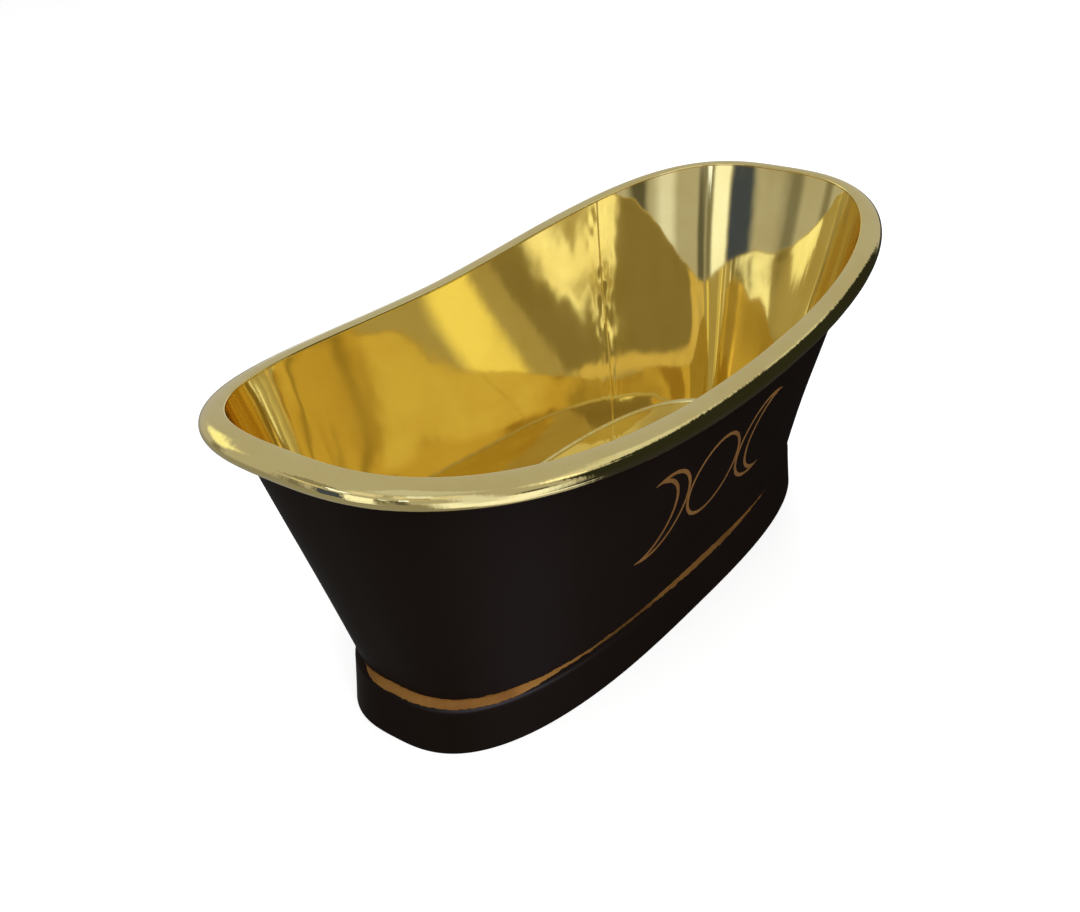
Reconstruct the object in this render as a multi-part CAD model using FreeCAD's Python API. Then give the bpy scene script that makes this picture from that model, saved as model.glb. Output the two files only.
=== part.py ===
import FreeCAD, Part
import math
import os

from FreeCAD import Vector

# Overall sizes, in millimetres
length_overall = 1700.0  # over the rolled rim, end to end
width_overall = 850.0  # over the rolled rim, side to side
height_ends = 697.0  # top of the rim at the two raised ends
height_middle = 610.0  # top of the rim at mid-length
sheer_power = 1.82  # how late the rim rises towards the ends
sheet = 2.0  # thickness of the bent sheet
edge_break = 1.0  # small chamfer on turned pieces

# Rolled rim
rim_fullness = 2.91  # exponent of the rim's oval in plan
rim_reach = 38.0  # from the roll's centre line out to its edge
rim_half_height = 25.5
rim_lip = 10.0  # from the roll's centre line in to the wall's inner face
lip_bend = 5.0  # radius where the roll turns down to the wall
tuck_gap = 0.6  # between the roll's outer edge and the wall
seat_gap = 0.3  # between curved sheets that lie on each other

# Foot of the wall, where it meets the plinth
base_length = 1290.0
base_width = 520.0
base_fullness = 2.82  # exponent of the base's and the skirt's ovals
seam_angle = 58.0  # where the two wall sheets meet, round the oval
seam_width = 5.0
seam_proud = 0.8
floor_weld_leg = 6.0

# Plinth skirt
skirt_height = 111.0  # from the ground to the wall's foot
shoulder_drop = 14.0  # from the wall's foot down to the shoulder's lower edge
shoulder_ends = 12.0  # how far the shoulder spreads from the wall's foot, at the ends
shoulder_sides = 3.0
shoulder_bulge = 1.5  # how far the shoulder swells out of a straight slope
flare_ends = 13.0  # how far the side spreads from the shoulder to the ground, at the ends
flare_sides = 2.0
hem_width = 22.0
hem_trim = 1.0  # extra depth under the hem, cut off flat at the ground
flange_width = 18.0  # seat for the floor, inside the wall

# Frame under the floor
rail_width = 40.0
rail_wall = 2.5
rail_corner = 5.0
rail_end_setback = 225.0  # from the ends of the base to the rails' ends
rail_side_setback = 125.0  # from the sides of the base to the rails' middles
bearer_setback = 120.0  # from the rails' ends to the cross bearers' middles

# Screw feet
foot_setback = 45.0  # from the rails' ends to the screw's axis
screw_radius = 6.0
screw_clearance = 0.3
screw_travel = 14.0
screw_spare = 6.0  # thread left over the bush with the screw wound out
screw_headroom = 5.0  # over the screw's end, inside the rail
bush_height = 10.0
lock_nut_height = 7.0
nut_across_flats = 19.0
pad_radius = 25.0
pad_rim_height = 5.0
pad_height = 16.0
pad_boss_radius = 11.0
pad_boss_height = 3.0
pad_lift = 1.0  # pad's height over the ground with the screw wound in
socket_depth = 9.0
collar_radius = 9.0
collar_height = 8.0

# Waste in the middle of the floor
tail_radius = 23.9
tail_wall = 3.0
tail_length = 66.0
tail_groove_depth = 1.0  # run-out groove between the nut's thread and the trap's
tail_groove_width = 3.0
waste_hole_clearance = 1.1
waste_flange_radius = 35.0
waste_flange_height = 3.0
waste_flange_bevel = 2.0
washer_radius = 33.0
washer_height = 1.5
lower_washer_height = 3.0
back_nut_across_flats = 64.0
back_nut_height = 9.0
bridge_width = 5.0
bridge_height = 8.0
boss_radius = 8.0
boss_length = 26.0
cartridge_radius = 6.0
spindle_radius = 4.0
cap_radius = 31.0
cap_edge = 2.5
cap_crown = 3.0
seal_inner_radius = 24.0
seal_outer_radius = 29.0
seal_height = 2.0
plug_travel = 10.0
plug_gap = 0.3
fit_gap = 0.05

# Derived from the sizes above
rim_half_length = length_overall / 2 - rim_reach
rim_half_width = width_overall / 2 - rim_reach
rim_rise = height_ends - height_middle
rim_middle = height_middle - rim_half_height
base_half_length = base_length / 2
base_half_width = base_width / 2
floor_top = skirt_height + sheet
rail_height = 2 * rail_wall + screw_travel + screw_spare + screw_headroom
sections_per_half = 25


def oval_point(half_length, half_width, fullness, angle):
    c = math.cos(angle)
    s = math.sin(angle)
    x = math.copysign(abs(c) ** (2 / fullness), c) * half_length
    y = math.copysign(abs(s) ** (2 / fullness), s) * half_width
    return Vector(x, y, 0)


def oval_normal(half_length, half_width, fullness, angle):
    p = oval_point(half_length, half_width, fullness, angle)
    x = math.copysign(abs(p.x / half_length) ** (fullness - 1) / half_length, p.x)
    y = math.copysign(abs(p.y / half_width) ** (fullness - 1) / half_width, p.y)
    return Vector(x, y, 0).normalize()


def rim_centre(angle):
    p = oval_point(rim_half_length, rim_half_width, rim_fullness, angle)
    p.z = rim_middle + rim_rise * (abs(p.x) / rim_half_length) ** sheer_power
    return p


def rim_normal(angle):
    return oval_normal(rim_half_length, rim_half_width, rim_fullness, angle)


def base_point(angle, inset=0.0, z=skirt_height):
    p = oval_point(base_half_length, base_half_width, base_fullness, angle)
    p = p - oval_normal(base_half_length, base_half_width, base_fullness, angle) * inset
    p.z = z
    return p


def stations(start, end, count):
    """Angles from start to end, evenly spaced along the rim."""
    fine = 40 * count
    angles = [start + (end - start) * i / fine for i in range(fine + 1)]
    points = [rim_centre(a) for a in angles]
    run = [0.0]
    for p, q in zip(points, points[1:]):
        run.append(run[-1] + p.distanceToPoint(q))
    picked = []
    i = 0
    for k in range(count):
        goal = run[-1] * k / (count - 1)
        while i < fine - 1 and run[i + 1] < goal:
            i += 1
        share = (goal - run[i]) / (run[i + 1] - run[i])
        picked.append(angles[i] + (angles[i + 1] - angles[i]) * share)
    return picked


def closed_wire(points):
    return Part.makePolygon(points + points[:1])


def lofted(wires):
    return Part.makeLoft(wires, True, False)


def roll_height(reach, half_height, out):
    """Height of the roll's upper face over its centre, that far out."""
    return half_height * math.sqrt(1 - (out / reach) ** 2)


def lip_height():
    """Height of the lip's end, on the wall's top edge, over the roll's centre."""
    return roll_height(rim_reach, rim_half_height, rim_lip - lip_bend) - lip_bend


def wall_corners(angle, proud=0.0):
    """Outer and inner foot, then inner and outer top, of the wall at one angle."""
    out = rim_normal(angle)
    foot = base_point(angle)
    top = rim_centre(angle) + Vector(0, 0, lip_height() - seat_gap) - out * (rim_lip - sheet)
    inner = out * (sheet + proud)
    outer = out * proud
    return [foot + outer, foot - inner, top - inner, top + outer]


def wall_outer(angle, height):
    foot, _, _, top = wall_corners(angle)
    return foot + (top - foot) * ((height - foot.z) / (top.z - foot.z))


def wall_inner(angle, height):
    _, foot, top, _ = wall_corners(angle)
    return foot + (top - foot) * ((height - foot.z) / (top.z - foot.z))


def seam_half_step(angle):
    """Half the seam's width, as an angle round the oval."""
    probe = math.radians(0.1)
    step = rim_centre(angle + probe).distanceToPoint(rim_centre(angle - probe))
    return seam_width / 2 * (2 * probe / step)


def sheet_span(seam):
    start = math.radians(seam)
    end = start + math.pi
    return start + seam_half_step(start), end - seam_half_step(end)


def wall_sheet(seam):
    return lofted([closed_wire(wall_corners(a)) for a in stations(*sheet_span(seam), sections_per_half)])


def seam_section(angle, proud):
    """Section of the seam weld: proud of the wall, but flush behind the rolled rim."""
    outer_foot, inner_foot, inner_top, _ = wall_corners(angle, proud)
    outer_top = wall_corners(angle)[3]
    under_roll = rim_centre(angle).z - 2 * rim_half_height
    flush = wall_outer(angle, under_roll + seam_width)
    below = wall_outer(angle, under_roll) + rim_normal(angle) * proud
    return closed_wire([outer_foot, inner_foot, inner_top, outer_top, flush, below])


def seam_weld(seam):
    angle = math.radians(seam)
    step = seam_half_step(angle)
    sections = [seam_section(angle - step, 0), seam_section(angle, seam_proud), seam_section(angle + step, 0)]
    return Part.makeLoft(sections, True, True)


def roll_faces(centre, out, inset, tuck):
    """One face of the roll's sheet: round from the wall to the top, then down to the lip."""
    reach = rim_reach - inset
    half_height = rim_half_height - inset
    turn = rim_lip - lip_bend
    bend = lip_bend - inset
    ellipse = Part.Ellipse(centre + out * reach, centre + Vector(0, 0, half_height), centre)
    round_face = Part.ArcOfEllipse(ellipse, -math.acos(tuck / reach), math.acos(-turn / reach)).toShape()

    def at(depth, height):
        return centre - out * depth + Vector(0, 0, height)

    crest = roll_height(reach, half_height, turn)
    half = bend * math.sqrt(0.5)
    middle = at(turn + half, crest - bend + half)
    lip_face = Part.Arc(at(turn, crest), middle, at(turn + bend, lip_height())).toShape()
    return round_face, lip_face


def wall_reach(angle, height):
    """Distance out from the roll's centre to the wall's outer face, in the roll's own section."""
    centre = rim_centre(angle)
    out = rim_normal(angle)
    along = Vector(-out.y, out.x, 0)
    probe = math.radians(0.5)
    found = angle
    for _ in range(4):
        off = (wall_outer(found, height) - centre).dot(along)
        next_off = (wall_outer(found + probe, height) - centre).dot(along)
        found -= probe * off / (next_off - off)
    return (wall_outer(found, height) - centre).dot(out)


def roll_tuck(angle):
    """Distance out from the roll's centre to its tucked-in outer edge."""
    tuck = -rim_lip
    for _ in range(4):
        drop = roll_height(rim_reach - sheet, rim_half_height - sheet, tuck)
        tuck = wall_reach(angle, rim_centre(angle).z - drop) + tuck_gap
    return tuck


def roll_section(angle):
    """Section of the rolled rim: round from the wall's outer face to the wall's top."""
    centre = rim_centre(angle)
    out = rim_normal(angle)
    tuck = roll_tuck(angle)
    outer, outer_lip = roll_faces(centre, out, 0, tuck)
    inner, inner_lip = roll_faces(centre, out, sheet, tuck)
    lip = Part.makeLine(outer_lip.lastVertex().Point, inner_lip.lastVertex().Point)
    edge = Part.makeLine(inner.firstVertex().Point, outer.firstVertex().Point)
    return Part.Wire([outer, outer_lip, lip, inner_lip, inner, edge])


def rim_roll(seam):
    start = math.radians(seam)
    return lofted([roll_section(a) for a in stations(start, start + math.pi, sections_per_half)])


def floor_plate():
    count = 2 * sections_per_half
    rim_angles = stations(0, 2 * math.pi, count + 1)[:-1]
    outline = Part.BSplineCurve()
    edge = sheet + seam_proud + seat_gap
    outline.interpolate([base_point(a, edge) for a in rim_angles], PeriodicFlag=True)
    plate = Part.Face(Part.Wire(outline.toShape())).extrude(Vector(0, 0, sheet))
    hole = Part.makeCylinder(tail_radius + waste_hole_clearance, sheet, Vector(0, 0, skirt_height))
    return plate.cut(hole)


def floor_weld(seam):
    wires = []
    for a in stations(*sheet_span(seam), sections_per_half):
        out = oval_normal(base_half_length, base_half_width, base_fullness, a)
        corner = wall_inner(a, floor_top) - out * seat_gap
        up = wall_inner(a, floor_top + floor_weld_leg) - out * seat_gap
        wires.append(closed_wire([corner, up, corner - out * floor_weld_leg]))
    return lofted(wires)


def skirt_point(angle, spread_ends, spread_sides):
    return oval_point(base_half_length + spread_ends, base_half_width + spread_sides, base_fullness, angle)


def swelling_arc(start, end, up, bulge):
    """Arc from start up to end that swells out of the straight line between them."""
    chord = end - start
    side = chord.cross(chord.cross(up)).normalize()
    return Part.Arc(start, (start + end) / 2 - side * bulge, end).toShape()


def skirt_section(angle):
    """Section of the skirt: hem, leaning side, shoulder, and the seat under wall and floor."""
    ground = skirt_point(angle, shoulder_ends + flare_ends, shoulder_sides + flare_sides)
    seat_end = base_point(angle, sheet + flange_width, 0)
    inward = (seat_end - ground).normalize()
    seat = (seat_end - ground).Length
    edge = (skirt_point(angle, shoulder_ends, shoulder_sides) - ground).dot(inward)
    crease = (base_point(angle, 0, 0) - ground).dot(inward)
    edge_height = skirt_height - shoulder_drop
    under = skirt_height - sheet
    lean = edge / edge_height

    def at(depth, height):
        return ground + inward * depth + Vector(0, 0, height)

    def shoulder(inset, top):
        return swelling_arc(at(edge + inset, edge_height), at(crease + inset, top), -inward, shoulder_bulge)

    return Part.Wire([
        Part.makeLine(at(-lean * hem_trim, -hem_trim), at(edge, edge_height)),
        shoulder(0, skirt_height),
        Part.makeLine(at(crease, skirt_height), at(seat, skirt_height)),
        Part.makeLine(at(seat, skirt_height), at(seat, under)),
        Part.makeLine(at(seat, under), at(crease + sheet, under)),
        shoulder(sheet, under),
        Part.makeLine(at(edge + sheet, edge_height), at(sheet, sheet)),
        Part.makeLine(at(sheet, sheet), at(hem_width, sheet)),
        Part.makeLine(at(hem_width, sheet), at(hem_width, -hem_trim)),
        Part.makeLine(at(hem_width, -hem_trim), at(-lean * hem_trim, -hem_trim)),
    ])


def skirt(start):
    body = lofted([skirt_section(a) for a in stations(start, start + math.pi, sections_per_half)])
    ground = Part.makeBox(
        2 * length_overall, 2 * width_overall, 2 * hem_trim,
        Vector(-length_overall, -width_overall, -2 * hem_trim))
    return body.cut(ground)


def box_section(width, height, length):
    """Hollow rail along X from the origin, its top face at z = 0."""
    def tube(inset, radius):
        body = Part.makeBox(
            length, width - 2 * inset, height - 2 * inset,
            Vector(0, inset - width / 2, inset - height))
        long_edges = [e for e in body.Edges if abs(e.tangentAt(e.FirstParameter).x) > 0.99]
        return body.makeFillet(radius, long_edges)

    return tube(0, rail_corner).cut(tube(rail_wall, rail_corner - rail_wall))


def rail_half_length():
    return base_half_length - rail_end_setback


def rail_middle():
    return base_half_width - rail_side_setback


def foot_place(end, side):
    return Vector(end * (rail_half_length() - foot_setback), side * rail_middle(), 0)


def rail(side):
    half = rail_half_length()
    body = box_section(rail_width, rail_height, 2 * half)
    body.translate(Vector(-half, side * rail_middle(), skirt_height))
    under = skirt_height - rail_height
    for end in (-1, 1):
        hole_base = foot_place(end, side) + Vector(0, 0, under)
        body = body.cut(Part.makeCylinder(screw_radius + screw_clearance, rail_wall, hole_base))
    return body


def cross_bearer(end):
    half = rail_middle() - rail_width / 2
    body = box_section(rail_width, rail_height, 2 * half)
    body.translate(Vector(-half, 0, 0))
    body.rotate(Vector(0, 0, 0), Vector(0, 0, 1), 90)
    body.translate(Vector(end * (rail_half_length() - bearer_setback), 0, skirt_height))
    return body


def hex_nut(across_flats, height, bore_radius, base):
    corner = across_flats / math.sqrt(3)
    turns = [i * math.pi / 3 for i in range(6)]
    outline = closed_wire([Vector(corner * math.cos(t), corner * math.sin(t), 0) for t in turns])
    nut = Part.Face(outline).extrude(Vector(0, 0, height))
    nut = nut.cut(Part.makeCylinder(bore_radius, height))
    nut.translate(base)
    return nut


def revolved(profile):
    """Solid turned about Z from (radius, height) corners."""
    face = Part.Face(closed_wire([Vector(r, 0, z) for r, z in profile]))
    return face.revolve(Vector(0, 0, 0), Vector(0, 0, 1), 360)


def bush_base():
    return skirt_height - rail_height - bush_height


def leveller_bush(end, side):
    base = foot_place(end, side) + Vector(0, 0, bush_base())
    return hex_nut(nut_across_flats, bush_height, screw_radius + screw_clearance, base)


def leveller_lock_nut(end, side):
    base = foot_place(end, side) + Vector(0, 0, bush_base() - lock_nut_height)
    return hex_nut(nut_across_flats, lock_nut_height, screw_radius + screw_clearance, base)


def leveller_pad(end, side):
    socket = screw_radius + screw_clearance
    body = revolved([
        (0, 0), (pad_radius - edge_break, 0), (pad_radius, edge_break), (pad_radius, pad_rim_height),
        (pad_boss_radius, pad_height - pad_boss_height), (pad_boss_radius, pad_height),
        (socket, pad_height), (socket, pad_height - socket_depth), (0, pad_height - socket_depth)])
    body.translate(foot_place(end, side) + Vector(0, 0, pad_lift))
    return body


def leveller_stem(end, side):
    foot = pad_lift + pad_height - socket_depth + screw_clearance
    collar = pad_lift + pad_height + screw_clearance
    top = skirt_height - rail_wall - screw_headroom
    body = revolved([
        (0, foot), (screw_radius - edge_break, foot), (screw_radius, foot + edge_break),
        (screw_radius, collar), (collar_radius, collar), (collar_radius, collar + collar_height),
        (screw_radius, collar + collar_height), (screw_radius, top - edge_break),
        (screw_radius - edge_break, top), (0, top)])
    body.translate(foot_place(end, side))
    return body


def waste_levels():
    """Underside of the waste's flange, and its top face."""
    under = floor_top + washer_height
    return under, under + waste_flange_height


def back_nut_base():
    return skirt_height - lower_washer_height - back_nut_height


def waste_body():
    under, top = waste_levels()
    bore = tail_radius - tail_wall
    groove = tail_radius - tail_groove_depth
    groove_end = back_nut_base() - tail_groove_width
    return revolved([
        (bore, top - edge_break), (bore + edge_break, top), (waste_flange_radius - waste_flange_bevel, top),
        (waste_flange_radius, under + edge_break), (waste_flange_radius, under), (tail_radius, under),
        (tail_radius, back_nut_base()), (groove, back_nut_base()),
        (groove, groove_end), (tail_radius, groove_end),
        (tail_radius, under - tail_length), (bore, under - tail_length)])


def bridge_top():
    return waste_levels()[0]


def waste_bridge():
    reach = tail_radius - tail_wall - fit_gap
    boss_base = bridge_top() - boss_length
    body = Part.makeCylinder(boss_radius, boss_length, Vector(0, 0, boss_base))
    for turn in (0, 90):
        bar = Part.makeBox(
            2 * reach, bridge_width, bridge_height,
            Vector(-reach, -bridge_width / 2, bridge_top() - bridge_height))
        bar.rotate(Vector(0, 0, 0), Vector(0, 0, 1), turn)
        body = body.fuse(bar)
    inside_tail = Part.makeCylinder(reach, boss_length, Vector(0, 0, boss_base))
    body = body.common(inside_tail)
    return body.cut(Part.makeCylinder(cartridge_radius + fit_gap, boss_length, Vector(0, 0, boss_base)))


def ring(inner, outer, height, base):
    return revolved([(inner, base), (outer, base), (outer, base + height), (inner, base + height)])


def waste_upper_washer():
    return ring(tail_radius + fit_gap, washer_radius, washer_height, floor_top)


def waste_lower_washer():
    return ring(tail_radius + fit_gap, washer_radius, lower_washer_height, skirt_height - lower_washer_height)


def waste_back_nut():
    base = Vector(0, 0, back_nut_base())
    return hex_nut(back_nut_across_flats, back_nut_height, tail_radius + fit_gap, base)


def plug_cartridge():
    return ring(spindle_radius + screw_clearance, cartridge_radius, boss_length, bridge_top() - boss_length)


def cap_base():
    return waste_levels()[1] + plug_gap + seal_height


def plug_cap():
    base = cap_base()
    edge = base + cap_edge
    rim = Part.makeLine(Vector(0, 0, base), Vector(cap_radius, 0, base))
    side = Part.makeLine(Vector(cap_radius, 0, base), Vector(cap_radius, 0, edge))
    sphere = (cap_radius ** 2 + cap_crown ** 2) / (2 * cap_crown)
    half = math.asin(cap_radius / sphere) / 2
    dome_middle = Vector(sphere * math.sin(half), 0, edge + cap_crown - sphere * (1 - math.cos(half)))
    dome = Part.Arc(Vector(cap_radius, 0, edge), dome_middle, Vector(0, 0, edge + cap_crown)).toShape()
    axis = Part.makeLine(Vector(0, 0, edge + cap_crown), Vector(0, 0, base))
    face = Part.Face(Part.Wire([rim, side, dome, axis]))
    return face.revolve(Vector(0, 0, 0), Vector(0, 0, 1), 360)


def plug_seal():
    return ring(seal_inner_radius, seal_outer_radius, seal_height, cap_base() - seal_height)


def plug_spindle():
    foot = bridge_top() - boss_length - plug_travel
    return Part.makeCylinder(spindle_radius, cap_base() - foot, Vector(0, 0, foot))


ends = {"head": -1, "foot": 1}
sides = {"near": -1, "far": 1}
corners = [(end, side) for end in ends for side in sides]


def each_corner(make):
    return [make(ends[end], sides[side]) for end, side in corners]


def build():
    other_seam = seam_angle + 180
    nodes = {
        "wall_sheet_far": wall_sheet(seam_angle),
        "wall_sheet_near": wall_sheet(other_seam),
        "wall_seam_welds": Part.makeCompound([seam_weld(seam_angle), seam_weld(other_seam)]),
        "rim_roll_far": rim_roll(seam_angle),
        "rim_roll_near": rim_roll(other_seam),
        "floor_plate": floor_plate(),
        "floor_weld": Part.makeCompound([floor_weld(seam_angle), floor_weld(other_seam)]),
        "skirt_head": skirt(math.pi / 2),
        "skirt_foot": skirt(-math.pi / 2),
        "leveller_bushes": Part.makeCompound(each_corner(leveller_bush)),
        "leveller_lock_nuts": Part.makeCompound(each_corner(leveller_lock_nut)),
        "waste_body": waste_body(),
        "waste_bridge": waste_bridge(),
        "waste_upper_washer": waste_upper_washer(),
        "waste_lower_washer": waste_lower_washer(),
        "waste_back_nut": waste_back_nut(),
        "plug_cartridge": plug_cartridge(),
        "plug_cap": plug_cap(),
        "plug_seal": plug_seal(),
        "plug_spindle": plug_spindle(),
    }
    for name, side in sides.items():
        nodes["rail_" + name] = rail(side)
    for name, end in ends.items():
        nodes["cross_bearer_" + name] = cross_bearer(end)
    for end, side in corners:
        nodes[f"leveller_pad_{end}_{side}"] = leveller_pad(ends[end], sides[side])
        nodes[f"leveller_stem_{end}_{side}"] = leveller_stem(ends[end], sides[side])
    return nodes


os.makedirs("parts", exist_ok=True)
for node, shape in build().items():
    shape.exportStep(f"parts/{node}.step")
    print(node, len(shape.Solids), shape.isValid(), round(shape.Volume))
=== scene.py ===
import math

import bmesh
import bpy
from mathutils import Matrix, Vector, noise


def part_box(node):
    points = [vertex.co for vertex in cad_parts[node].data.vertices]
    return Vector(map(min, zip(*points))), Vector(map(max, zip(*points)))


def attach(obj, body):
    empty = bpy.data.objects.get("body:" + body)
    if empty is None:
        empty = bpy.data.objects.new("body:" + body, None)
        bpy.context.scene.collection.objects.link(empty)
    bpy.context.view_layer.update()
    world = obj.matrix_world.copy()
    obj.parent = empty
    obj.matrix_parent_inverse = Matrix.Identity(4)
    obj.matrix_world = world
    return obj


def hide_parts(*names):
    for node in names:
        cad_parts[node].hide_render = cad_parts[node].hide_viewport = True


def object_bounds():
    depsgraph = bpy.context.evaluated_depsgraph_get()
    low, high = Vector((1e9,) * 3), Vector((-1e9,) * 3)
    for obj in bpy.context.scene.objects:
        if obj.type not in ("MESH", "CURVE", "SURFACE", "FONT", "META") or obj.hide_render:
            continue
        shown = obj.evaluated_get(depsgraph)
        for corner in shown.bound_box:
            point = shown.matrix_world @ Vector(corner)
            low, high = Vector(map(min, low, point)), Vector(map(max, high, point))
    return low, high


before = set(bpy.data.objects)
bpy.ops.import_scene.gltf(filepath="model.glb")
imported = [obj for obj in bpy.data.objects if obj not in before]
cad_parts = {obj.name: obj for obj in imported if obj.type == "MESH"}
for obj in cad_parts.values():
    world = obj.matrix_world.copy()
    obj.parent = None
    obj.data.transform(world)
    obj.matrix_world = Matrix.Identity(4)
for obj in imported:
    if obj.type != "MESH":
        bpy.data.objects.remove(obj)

cadLow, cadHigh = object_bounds()
print("frame loaded, CAD box", tuple(cadLow), tuple(cadHigh))


# number helpers

def smoothStep(low, high, value):
    share = min(1.0, max(0.0, (value - low) / (high - low)))
    return share * share * (3 - 2 * share)


def fadeEnds(share, reach):
    # nothing at either end, full from this far in
    return smoothStep(0, reach, share) * smoothStep(1, 1 - reach, share)


def hump(value, middle, reach):
    return math.exp(-((value - middle) / reach) ** 2)


def mix(before, after, share):
    return before + (after - before) * share


def signedPower(value, power):
    return math.copysign(abs(value) ** power, value)


# shared shape of the tub: both ovals, the sheer line and the ruled wall between them

def boxOf(*nodes):
    lows, highs = zip(*(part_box(node) for node in nodes))
    low = Vector([min(corner[axis] for corner in lows) for axis in range(3)])
    high = Vector([max(corner[axis] for corner in highs) for axis in range(3)])
    return low, high


rimHigh = boxOf("rim_roll_far", "rim_roll_near")[1]
skirtLow, skirtHigh = boxOf("skirt_head", "skirt_foot")
floorLow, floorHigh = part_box("floor_plate")
sheet = floorHigh.z - floorLow.z  # one gauge of sheet all over

tubShape = {
    "stations": 640,  # round the oval, starting at the seam that shows
    "fineSteps": 8,  # steps to a station, to space them evenly
    "seamAngle": math.radians(58),
    "rimFullness": 2.91,
    "rimReach": 0.038,  # half the roll's width
    "rimHalfHeight": 0.0255,
    "rimLip": 0.010,  # from the roll's middle in to the wall's inner face
    "lipBend": 0.005,
    "heightMiddle": 0.610,
    "sheerPower": 1.82,
    "footHalfLength": 0.645,
    "footHalfWidth": 0.260,
    "footFullness": 2.82,
    "sideSwing": 0.0036,  # the long sides draw in low down and swell out high up
}
rimOval = (rimHigh.x - tubShape["rimReach"], rimHigh.y - tubShape["rimReach"], tubShape["rimFullness"])
footOval = (tubShape["footHalfLength"], tubShape["footHalfWidth"], tubShape["footFullness"])
rimMiddle = tubShape["heightMiddle"] - tubShape["rimHalfHeight"]
rimRise = rimHigh.z - tubShape["heightMiddle"]
creaseHeight = skirtHigh.z


def rollHeight(out):
    share = out / tubShape["rimReach"]
    return tubShape["rimHalfHeight"] * math.sqrt(max(0, 1 - share * share))


lipHeight = rollHeight(tubShape["rimLip"] - tubShape["lipBend"]) - tubShape["lipBend"]


def ovalPoint(halfLength, halfWidth, fullness, turn, height=0.0):
    power = 2 / fullness
    return Vector((signedPower(math.cos(turn), power) * halfLength,
                   signedPower(math.sin(turn), power) * halfWidth, height))


def ovalOut(halfLength, halfWidth, fullness, point):
    power = fullness - 1
    return Vector((signedPower(point.x / halfLength, power) / halfLength,
                   signedPower(point.y / halfWidth, power) / halfWidth, 0)).normalized()


def rimCentre(turn):
    point = ovalPoint(*rimOval, turn)
    point.z = rimMiddle + rimRise * (abs(point.x) / rimOval[0]) ** tubShape["sheerPower"]
    return point


def rimOut(turn):
    return ovalOut(*rimOval, ovalPoint(*rimOval, turn))


def wallFoot(turn):
    return ovalPoint(*footOval, turn, creaseHeight)


def wallTop(turn):
    return rimCentre(turn) + Vector((0, 0, lipHeight)) - rimOut(turn) * (tubShape["rimLip"] - sheet)


def wallLine(foot, top, out, share):
    # a point on the wall's outer face: a straight line with a slight swing on the long sides
    swing = -math.sin(math.tau * share) * tubShape["sideSwing"] * out.y * out.y
    return foot + (top - foot) * share + out * swing


def shareAt(foot, top, height):
    # how far up the wall a height is
    return (height - foot.z) / (top.z - foot.z)


def evenTurns(count):
    # angles whose points are evenly spaced along the rim, from the seam round to the seam
    fine = count * tubShape["fineSteps"]
    turns = [tubShape["seamAngle"] + math.tau * step / fine for step in range(fine + 1)]
    points = [rimCentre(turn) for turn in turns]
    travel = [0.0]
    for before, after in zip(points, points[1:]):
        travel.append(travel[-1] + (after - before).length)
    picked = []
    step = 0
    for station in range(count):
        wanted = travel[-1] * station / count
        while travel[step + 1] < wanted:
            step += 1
        share = (wanted - travel[step]) / (travel[step + 1] - travel[step])
        picked.append(mix(turns[step], turns[step + 1], share))
    return picked, travel[-1]


stations = tubShape["stations"]
stationTurns, rimGirth = evenTurns(stations)
rimCentres = [rimCentre(turn) for turn in stationTurns]
rimOuts = [rimOut(turn) for turn in stationTurns]
wallFeet = [wallFoot(turn) for turn in stationTurns]
wallTops = [wallTop(turn) for turn in stationTurns]

# how sharply the oval turns at each station, against its sharpest corner
bends = [(rimOuts[station] - rimOuts[station - 1]).length for station in range(stations)]
sharpest = max(bends)
bendShares = [bend / sharpest for bend in bends]
print("tub shape worked out, rim girth", round(rimGirth, 3))


def wallPoint(station, share):
    return wallLine(wallFeet[station], wallTops[station], rimOuts[station], share)


# modelling helpers

def pickAlone(piece):
    bpy.ops.object.select_all(action="DESELECT")
    piece.select_set(True)
    bpy.context.view_layer.objects.active = piece


def pickInEdit(piece, kind, isPicked):
    # goes into edit mode with the edges or faces selected that pass the test
    pickAlone(piece)
    bpy.ops.object.mode_set(mode="EDIT")
    bpy.ops.mesh.select_mode(type=kind)
    bpy.ops.mesh.select_all(action="DESELECT")
    body = bmesh.from_edit_mesh(piece.data)
    for element in body.edges if kind == "EDGE" else body.faces:
        element.select_set(isPicked(element))
    bmesh.update_edit_mesh(piece.data)


def addShape(name, operator, **settings):
    bpy.ops.object.select_all(action="DESELECT")
    operator(**settings)
    piece = bpy.context.object
    piece.name = piece.data.name = name
    return piece


def isUpright(edge):
    return abs(edge.verts[0].co.z - edge.verts[1].co.z) > 0.5


def addDrum(name, around, rows):
    # an open drum: its angle and its height are the two directions of a piece that runs round
    drum = addShape(name, bpy.ops.mesh.primitive_cylinder_add, vertices=around, radius=1, depth=1,
                    end_fill_type="NOTHING", location=(0, 0, 0.5))
    bpy.ops.object.transform_apply(location=True)
    pickInEdit(drum, "EDGE", isUpright)
    bpy.ops.mesh.subdivide(number_cuts=rows - 1)
    bpy.ops.object.mode_set(mode="OBJECT")
    return drum


def shapeDrum(drum, around, rows, place):
    # reads each vertex's station and row from the drum and puts it where place says
    spots = []
    for vertex in drum.data.vertices:
        turn = math.atan2(vertex.co.y, vertex.co.x) / math.tau
        spot = (round(turn * around) % around, round(vertex.co.z * rows))
        vertex.co = place(*spot)
        spots.append(spot)
    return spots


def giveAttribute(piece, name, values):
    attribute = piece.data.attributes.new(name, "FLOAT", "POINT")
    attribute.data.foreach_set("value", values)


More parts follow.
